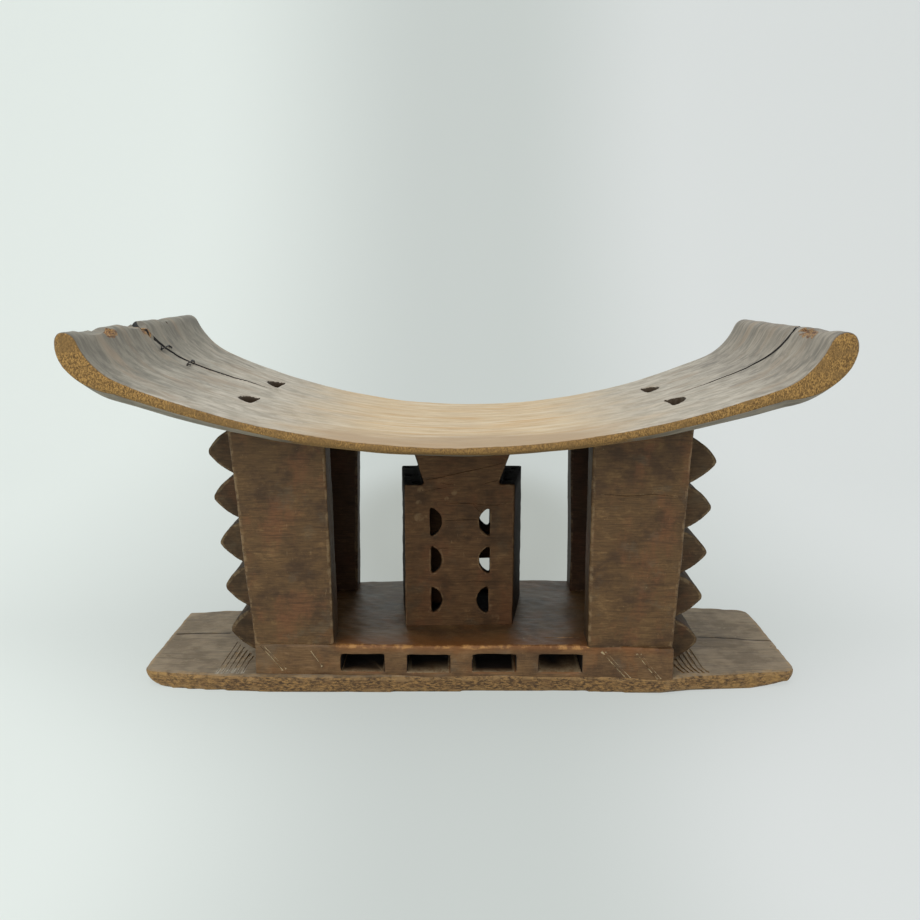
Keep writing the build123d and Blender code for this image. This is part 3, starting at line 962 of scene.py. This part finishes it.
def mark_shade_black(piece):
    """Store where the column is painted black as shade: its hollow, its shoulders and the neck's
    sides.
    """
    points = points_of(piece)
    normals = normals_of(piece)
    x, y, z = points.T
    behind = fade(y, -29.0, -27.0)
    hollow = behind * (y < 54) * (np.abs(x) < 60) * fade(-normals[:, 1], 0.95, 0.6)
    high = fade(z, SHOULDER - 11, SHOULDER - 4)
    outside = fade(np.abs(x), 40, 48) * fade(np.abs(normals[:, 0]), 0.5, 0.8) * (1 - high)
    store(piece, "painted_shade_black", np.maximum(hollow * (1 - 0.75 * outside), behind * high * 0.9))


def mark_scuffs(piece):
    """Add the scuffs to what is stored as rubbed."""
    x, y, z = points_of(piece).T
    rubbed = read(piece.data.attributes["rubbed"], "data", "value")
    for middle, height, size in SCUFFS:
        away = np.hypot(x - middle, z - height)
        rubbed = np.maximum(rubbed, (1 - fade(away, 0, size)) * (y < -28) * 1.6)
    store(piece, "rubbed", rubbed)


mark_shade_black(column)
mark_scuffs(column)
neck = add("flaring_neck", column.data.copy())
for piece, node, upper in ((column, "centre_column", False), (neck, "column_neck", True)):
    open_all(piece)
    sides = {"clear_inner": upper, "clear_outer": not upper}
    level = {"plane_co": (0, 0, SHOULDER * MM), "plane_no": (0, 0, 1)}
    bpy.ops.mesh.bisect(use_fill=True, **level, **sides)
    close()
    finish_piece(piece, column_finish, [node])

# %% [markdown]
# ## The plinth
# The plinth's top is polished by touch, its front edge between the posts is rubbed down to the
# golden wood, and straw-coloured dust lies in the mouths of its slots. The top's front between the
# posts is painted warm as well, a painted reflection of the column, and the slots' insides are
# painted black as painted shade. Pairs of slanting lines are cut into its front below the posts.

# %% The plinth
SLOTS = [(-0.9 + 58.3 * (index - 1.5)) for index in range(4)]
SLOT_SIZE = (38.2, 400, 16.3)
# Each slanting line's width and path.
PLINTH_LINES = [
    (1.4, [(-179, 41.0), (-170, 31), (-160, 18.5)]),
    (0.8, [(-175.5, 41.0), (-167, 31.5), (-157, 20)]),
    (0.9, [(-134, 37), (-125, 23)]),
    (2.0, [(122.4, 38), (134, 25), (144.4, 13.5)]),
    (1.0, [(126, 38), (138, 25), (148, 14.5)]),
    (2.0, [(153, 37), (162, 25.5), (171, 14.5)]),
    (1.0, [(156.5, 37), (165.5, 25.5), (174, 15.5)]),
]
TOP_CRACK = [(55, -62, 43.2), (78, -60, 43.2), (104, -61, 43.2)]


def slot_tool(middle):
    """A sharp box that clears one slot again after the skin has softened it."""
    bpy.ops.mesh.primitive_cube_add(size=1, location=(middle * MM, 0, 26.4 * MM))
    tool = bpy.context.object
    tool.scale = [axis * MM for axis in SLOT_SIZE]
    settle(tool)
    return tool


plinth = support("plinth", "slotted_plinth", 1.7, 2, 100, [(DOWN, 2, 0, 16)])
cut(plinth, [slot_tool(middle) for middle in SLOTS])
cut(plinth, [rod(on_front(plinth, line), [width] * len(line)) for width, line in PLINTH_LINES])
cut(plinth, [rod(TOP_CRACK, (0.5, 1.4, 0.4))])
mark_wear(plinth)


def mark_plinth(piece):
    """Store the slots' painted shade, the dust on their lips, the worn front edge and the top's
    painted reflection.
    """
    points = points_of(piece)
    normals = normals_of(piece)
    x, y, z = points.T
    rubbed = read(piece.data.attributes["rubbed"], "data", "value")
    top_edge = (y < -60) & (z > 39.5) & (np.abs(x) < 113)
    store(piece, "rubbed", np.where(top_edge, rubbed, rubbed * 0.3))
    in_slot = (z > 16) & (z < 36) & (np.abs(x) < 109) & (normals[:, 1] > -0.6)
    lip = in_slot * (normals[:, 2] > 0.6) * (1 - fade(y, -80, -69)) * 0.75
    store(piece, "line", lip)
    # The slots' insides are painted near-black: painted shade.
    store(piece, "painted_shade_black", in_slot * (0.96 - 0.96 * lip) * fade(y, -84, -80))
    middle = 1 - fade(np.abs(x), 108, 116)
    right = fade(x, 108, 116) * (1 - fade(x, 165, 180)) * 0.6
    front = fade(-normals[:, 1], 0.2, 0.7)
    # The top's front between the posts is painted warm: a painted reflection of the column.
    top = (1 - fade(y, -78, -50)) * fade(normals[:, 2], 0.4, 0.8)
    # The front edge between the posts is warm from wear.
    edge = front * fade(z, 35, 43) * np.maximum(middle * 0.8, right)
    store(piece, "warm_wear_and_reflection", np.maximum(edge, top * middle * 0.9))


mark_plinth(plinth)
finish_piece(plinth, plinth_finish, ["plinth"])

# %% [markdown]
# ## The base
# The thin base has a chiselled grey-brown top with wavy grain. Its broken rim shows fresher,
# golden wood. Rows of short grooves are chiselled beside the plinth, with white dust in the
# left ones, and a crack runs in from each end.

# %% Base wood
def base_wood():
    """Chiselled grey-brown wood with a rough golden rim."""
    material, shader = new_finish("base_board", 0.38)
    point = object_point()
    along = stretched(point, (9, 1, 1))
    cloud = noise(point, 34, 5, 0.62)
    grain = noise(along, 1.4, 5, 0.6)
    figure = noise(point, 5, 4, 0.55, 0.4, stretch=(14, 1, 1))
    smudge = noise(point, 8, 5, 0.66, 0.4)
    top = blend(ramp(cloud, 0.38, 0.62), paint(118, 101, 79), paint(147, 129, 105))
    top = patch(top, figure, 0.52, 0.66, 0.45, paint(90, 75, 56))
    top = patch(top, smudge, 0.56, 0.70, 0.5, paint(154, 140, 116))
    top = shade(top, ramp(grain, 0.32, 0.68, 0.86, 1.10))
    speckle = noise(point, 1.5, 5, 0.75, stretch=(3, 1, 1))
    rim = blend(ramp(speckle, 0.42, 0.62), paint(74, 53, 31), paint(158, 121, 71))
    rim = patch(rim, smudge, 0.46, 0.66, 0.7, paint(104, 76, 46))
    x, y, z = axes(point)
    outer = ramp(calc("ABSOLUTE", x), 0.19, 0.27, 0.0, 0.4)
    golden = times(outer, ramp(noise(point, 9, 4, 0.7), 0.40, 0.58))
    rim = blend(golden, rim, paint(178, 140, 80))
    side = ramp(calc("MULTIPLY_ADD", speckle, 0.3, attribute("up")), 0.95, 0.70)
    colour = blend(side, top, rim)
    rub = times(ramp(attribute("rubbed"), 0.4, 0.9), 0.4)
    colour = blend(times(rub, ramp(smudge, 0.42, 0.6)), colour, paint(176, 142, 94))
    colour = blend(attribute("split"), colour, paint(56, 44, 32))
    dust = times(attribute("line"), ramp(smudge, 0.40, 0.60, 0.3, 0.9))
    colour = blend(dust, colour, paint(196, 188, 172))
    connect(colour, shader.inputs["Base Color"])
    connect(calc("MULTIPLY_ADD", smudge, 0.25, 0.45), shader.inputs["Roughness"])
    relief = bump(figure, 0.5, 0.35)
    relief = bump(grain, 0.3, 0.5, relief)
    relief = bump(times(speckle, side), 1.4, 0.6, relief)
    connect(relief, shader.inputs["Normal"])
    return material


base_finish = base_wood()

# %% The base board
TOP = 15        # the height of the board's top
LEFT_GROOVES, RIGHT_GROOVES = [], []
for index in range(6):
    x = -218 + 4.6 * index
    ends = (-3 - 7 * index, -75 + index % 2)
    LEFT_GROOVES.append([(x + 0.4, ends[0], TOP), (x - 0.8, -48, TOP), (x - 1.6, ends[1], TOP)])
    x = 192 + 4.6 * index
    ends = (-50 + 7.6 * index, -74 + index % 3)
    RIGHT_GROOVES.append([(x, ends[0], TOP), (x + 1.6, -62, TOP), (x + 5, ends[1], TOP)])
BASE_CRACKS = [
    ([(230.5, 10.4, TOP), (262, 7, TOP), (302, 0.7, TOP)], (0.5, 1.6, 2.6)),
    ([(-282, 14, TOP), (-256, 16.5, TOP), (-231, 18, TOP)], (2.4, 1.5, 0.4)),
]
# The worn line of the front's lower edge.
FOOT = [(-253, -75), (-225, -78), (-198, -80), (-171, -81.5), (175, -81.5), (203, -75.7),
        (230, -73.6), (258, -71.4), (288, -60.9)]


def undercut(piece):
    """Draw the front's lower edge back to its worn line, and lift the bottom towards the ends."""
    points = points_of(piece)
    x, y, z = points.T
    limit = np.interp(x, *np.array(FOOT).T) - 12 * fade(z, 0, 9)
    points[:, 1] = np.where(y < -50, np.maximum(y, limit), y)
    tips = (1 - fade(x, -287, -255)) + fade(x, 268, 300.5)
    points[:, 2] = np.maximum(z, 13 * tips**3)
    move_to(piece, points * MM)


base = support("base", "base_board", 2.0, 2, 110, [])
undercut(base)
keep_inside(base)
for left, right in zip(LEFT_GROOVES, RIGHT_GROOVES):
    cut(base, [rod(left, (1.6, 1.9, 1.9)), rod(right, (1.6, 1.9, 1.9))])
cut(base, [rod(*line) for line in BASE_CRACKS])
cut(base, [gouge((299, -14, 17), (14, 10, 8))])
mark_wear(base)
mark_lines(base, [path for path, widths in BASE_CRACKS], 1.7, "split")
dusty = [groove[2] for groove in LEFT_GROOVES]
mark_lines(base, [[(x, y + 9, z), (x, y, z)] for x, y, z in dusty], 1.6)
finish_piece(base, base_finish, ["base"])

# %% [markdown]
# ## Floor and light
# The stool stands on a pale seamless sheet that curves up behind it, so no horizon shows. The
# sheet starts as a flat plane. Its back edge is extruded up and the fold is rounded with a wide
# bevel. The paper is painted paler to the sides, as painted light, and darker in one soft patch
# behind the stool, as a painted shadow. The light is soft and even: mostly the white room, with
# two large lamps for a faint direction, and a plain level at which a colour renders about as it
# is written.

# %% The sheet
bpy.ops.mesh.primitive_plane_add(size=8, location=(0, -2.2, 0))
sheet = bpy.context.object
sheet.name = "backdrop_sheet"
settle(sheet)


def at_the_fold(edge):
    """Whether an edge lies at the back of the floor."""
    ends = [sheet.data.vertices[i].co for i in edge.vertices]
    return all(end.y > 1.7 and end.z < 0.1 for end in ends)


open_picked(sheet, "EDGE", at_the_fold)
bpy.ops.mesh.extrude_region_move(TRANSFORM_OT_translate={"value": (0, 0, 4)})
open_picked(sheet, "EDGE", at_the_fold)
bpy.ops.mesh.bevel(offset=1.0, segments=24, affect="EDGES")
close()
bpy.ops.object.shade_smooth()


def backdrop_paper():
    """Pale paper, which the camera, and what is shiny, see at its own colour."""
    material, shader = new_finish("backdrop_paper", 0.1)
    point = object_point()
    x, y, z = axes(point)
    # The paper is painted paler towards the sides: painted light.
    across = times(x, ramp(y, 0.1, -0.35, 1.0, 2.6))
    colour = blend(ramp(across, -0.05, -0.75), paint(200, 206, 203), paint(226, 233, 229))
    colour = blend(ramp(across, 0.10, 0.60), colour, paint(218, 222, 221))
    # A soft patch behind the stool is painted darker: a painted shadow.
    away = new_node("VectorMath")
    away.operation = "LENGTH"
    connect(stretched(point, (0.27, 0.55, 9), (0, -0.85, 0)), away.inputs[0])
    colour = patch(colour, away.outputs["Value"], 1.0, 0.45, 0.8, paint(172, 176, 170))
    connect(colour, shader.inputs["Base Color"])
    shader.inputs["Roughness"].default_value = 0.95
    ray = new_node("LightPath").outputs
    seen = calc("MAXIMUM", ray["Is Glossy Ray"], ray["Is Transmission Ray"])
    seen = calc("MAXIMUM", seen, ray["Is Camera Ray"])
    glow = new_node("Emission")
    connect(colour, glow.inputs["Color"])
    mixed = new_node("MixShader")
    connect(times(seen, 0.75), mixed.inputs[0])
    connect(shader.outputs[0], mixed.inputs[1])
    connect(glow.outputs[0], mixed.inputs[2])
    connect(mixed.outputs[0], tree.nodes["Material Output"].inputs["Surface"])
    return material


sheet.data.materials.append(backdrop_paper())
print("the sheet has", len(sheet.data.polygons), "faces")

# %% The lamps and the room
def softbox(name, place, aim, size, power):
    """A square lamp that faces a point."""
    data = bpy.data.lights.new(name, "AREA")
    data.size = size
    data.energy = power
    lamp = add(name, data)
    lamp.location = place
    lamp.rotation_euler = (Vector(aim) - Vector(place)).to_track_quat("-Z", "Y").to_euler()


softbox("overhead", (-0.4, -0.6, 2.4), (0, 0, 0.1), 2.6, 24)
softbox("front", (-0.9, -2.4, 1.3), (0, 0, 0.15), 2.0, 16)
world = bpy.data.worlds.new("studio")
bpy.context.scene.world = world
world.use_nodes = True
room = world.node_tree.nodes["Background"]
room.inputs["Color"].default_value = paint(250, 252, 251)
room.inputs["Strength"].default_value = 0.82
bpy.context.scene.view_settings.view_transform = "Standard"
